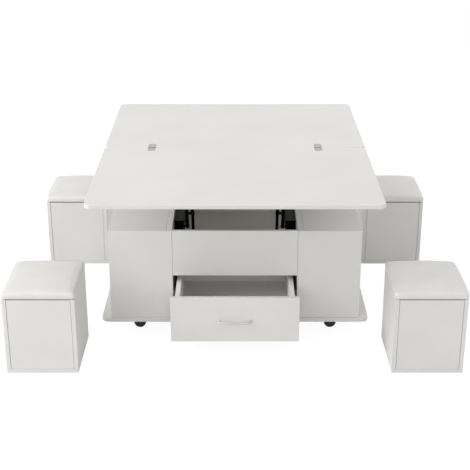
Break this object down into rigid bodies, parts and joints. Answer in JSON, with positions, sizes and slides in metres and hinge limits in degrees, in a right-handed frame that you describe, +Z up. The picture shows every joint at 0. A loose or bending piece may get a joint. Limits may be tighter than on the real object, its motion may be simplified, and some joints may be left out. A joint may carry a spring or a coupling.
{
  "type": "lift-top coffee table with stools",
  "caption": "Lift-top coffee table on casters with a folding second leaf, a drawer, open stool bays and matching padded storage stools.",
  "frame": {"origin": "on the floor, under the middle of the whole set of table and stools", "axes": "+X along the length of the table, +Z up, the drawer opens towards -Y"},
  "size_m": [1.762, 1.41, 0.6997],
  "materials": {
    "white_board": "white melamine-faced board, satin",
    "white_top": "smooth white lacquered board",
    "cushion_leather": "soft white faux leather over foam",
    "black_steel": "black powder coat on steel",
    "grey_zinc": "satin zinc plate",
    "handle_metal": "white paint on a metal bar",
    "black_nylon": "black moulded nylon"
  },
  "bodies": {
    "base": {"back_panel": "white_board", "base_board": "white_board", "compartment_floor": "white_board", "front_left_panel": "white_board", "front_right_panel": "white_board", "left_bay_top": "white_board", "left_fixed_runner": "grey_zinc", "left_lift_bracket": "black_steel", "left_partition": "white_board", "right_bay_top": "white_board", "right_fixed_runner": "grey_zinc", "right_lift_bracket": "black_steel", "right_partition": "white_board", "upper_front_panel": "white_board"},
    "rear_arms": {"rear_arms": "black_steel"},
    "front_arms": {"left_front_arm": "black_steel", "right_front_arm": "black_steel"},
    "lifting_top": {"lift_frame": "black_steel", "front_leaf": "white_top", "left_hinge_front_plate": "grey_zinc", "right_hinge_front_plate": "grey_zinc"},
    "folding_leaf": {"back_leaf": "white_top", "left_hinge_back_plate": "grey_zinc", "right_hinge_back_plate": "grey_zinc"},
    "drawer": {"drawer_front": "white_board", "drawer_left_side": "white_board", "drawer_right_side": "white_board", "drawer_back": "white_board", "drawer_bottom": "white_board", "drawer_handle": "handle_metal", "left_moving_runner": "grey_zinc", "right_moving_runner": "grey_zinc"},
    "stool_front_left": {"stool_front_left_case": "white_board", "stool_front_left_front_face": "white_board", "stool_front_left_back_face": "white_board"},
    "stool_lid_front_left": {"stool_front_left_lid_board": "white_board", "stool_front_left_cushion": "cushion_leather"},
    "caster_front_left": {"caster_hood_front_left": "black_nylon"},
    "wheels_front_left": {"caster_wheels_front_left": "black_nylon"},
    "stool_front_right": {"stool_front_right_case": "white_board", "stool_front_right_front_face": "white_board", "stool_front_right_back_face": "white_board"},
    "stool_lid_front_right": {"stool_front_right_lid_board": "white_board", "stool_front_right_cushion": "cushion_leather"},
    "caster_front_right": {"caster_hood_front_right": "black_nylon"},
    "wheels_front_right": {"caster_wheels_front_right": "black_nylon"},
    "stool_back_left": {"stool_back_left_case": "white_board", "stool_back_left_front_face": "white_board", "stool_back_left_back_face": "white_board"},
    "stool_lid_back_left": {"stool_back_left_lid_board": "white_board", "stool_back_left_cushion": "cushion_leather"},
    "caster_back_left": {"caster_hood_back_left": "black_nylon"},
    "wheels_back_left": {"caster_wheels_back_left": "black_nylon"},
    "stool_back_right": {"stool_back_right_case": "white_board", "stool_back_right_front_face": "white_board", "stool_back_right_back_face": "white_board"},
    "stool_lid_back_right": {"stool_back_right_lid_board": "white_board", "stool_back_right_cushion": "cushion_leather"},
    "caster_back_right": {"caster_hood_back_right": "black_nylon"},
    "wheels_back_right": {"caster_wheels_back_right": "black_nylon"}
  },
  "joints": [
    {"name": "lift", "type": "hinge", "parent": "base", "child": "rear_arms", "pos_m": [0, 0.03, 0.388], "axis": [1, 0, 0], "range_deg": [-100, 0]},
    {"name": "top_level", "type": "hinge", "parent": "rear_arms", "child": "lifting_top", "pos_m": [0, -0.0538, 0.64593], "axis": [1, 0, 0], "range_deg": [0, 100]},
    {"name": "front_arm_swing", "type": "hinge", "parent": "base", "child": "front_arms", "pos_m": [0, -0.12, 0.388], "axis": [1, 0, 0], "range_deg": [-100, 0]},
    {"name": "leaf_fold", "type": "hinge", "parent": "lifting_top", "child": "folding_leaf", "pos_m": [0, 0, 0.6972], "axis": [1, 0, 0], "range_deg": [0, 180]},
    {"name": "drawer_slide", "type": "slide", "parent": "base", "child": "drawer", "axis": [0, -1, 0], "range_m": [-0.213, 0.165]},
    {"name": "stool_tuck_front_left", "type": "slide", "parent": "base", "child": "stool_front_left", "axis": [1, 0, 0], "range_m": [0, 0.28]},
    {"name": "stool_lid_lift_front_left", "type": "slide", "parent": "stool_front_left", "child": "stool_lid_front_left", "axis": [0, 0, 1], "range_m": [0, 0.12]},
    {"name": "caster_swivel_front_left", "type": "hinge", "parent": "base", "child": "caster_front_left", "pos_m": [-0.38, -0.275, 0.05], "axis": [0, 0, 1], "continuous": true},
    {"name": "wheel_roll_front_left", "type": "hinge", "parent": "caster_front_left", "child": "wheels_front_left", "pos_m": [-0.398, -0.275, 0.025], "axis": [0, 1, 0], "continuous": true},
    {"name": "stool_tuck_front_right", "type": "slide", "parent": "base", "child": "stool_front_right", "axis": [-1, 0, 0], "range_m": [0, 0.28]},
    {"name": "stool_lid_lift_front_right", "type": "slide", "parent": "stool_front_right", "child": "stool_lid_front_right", "axis": [0, 0, 1], "range_m": [0, 0.12]},
    {"name": "caster_swivel_front_right", "type": "hinge", "parent": "base", "child": "caster_front_right", "pos_m": [0.38, -0.275, 0.05], "axis": [0, 0, 1], "continuous": true},
    {"name": "wheel_roll_front_right", "type": "hinge", "parent": "caster_front_right", "child": "wheels_front_right", "pos_m": [0.398, -0.275, 0.025], "axis": [0, 1, 0], "continuous": true},
    {"name": "stool_tuck_back_left", "type": "slide", "parent": "base", "child": "stool_back_left", "axis": [1, 0, 0], "range_m": [0, 0.28]},
    {"name": "stool_lid_lift_back_left", "type": "slide", "parent": "stool_back_left", "child": "stool_lid_back_left", "axis": [0, 0, 1], "range_m": [0, 0.12]},
    {"name": "caster_swivel_back_left", "type": "hinge", "parent": "base", "child": "caster_back_left", "pos_m": [-0.38, 0.275, 0.05], "axis": [0, 0, 1], "continuous": true},
    {"name": "wheel_roll_back_left", "type": "hinge", "parent": "caster_back_left", "child": "wheels_back_left", "pos_m": [-0.398, 0.275, 0.025], "axis": [0, 1, 0], "continuous": true},
    {"name": "stool_tuck_back_right", "type": "slide", "parent": "base", "child": "stool_back_right", "axis": [-1, 0, 0], "range_m": [0, 0.28]},
    {"name": "stool_lid_lift_back_right", "type": "slide", "parent": "stool_back_right", "child": "stool_lid_back_right", "axis": [0, 0, 1], "range_m": [0, 0.12]},
    {"name": "caster_swivel_back_right", "type": "hinge", "parent": "base", "child": "caster_back_right", "pos_m": [0.38, 0.275, 0.05], "axis": [0, 0, 1], "continuous": true},
    {"name": "wheel_roll_back_right", "type": "hinge", "parent": "caster_back_right", "child": "wheels_back_right", "pos_m": [0.398, 0.275, 0.025], "axis": [0, 1, 0], "continuous": true}
  ],
  "couplings": [
    {"joint": "top_level", "follows": "lift", "ratio": -1},
    {"joint": "front_arm_swing", "follows": "lift", "ratio": 1}
  ]
}
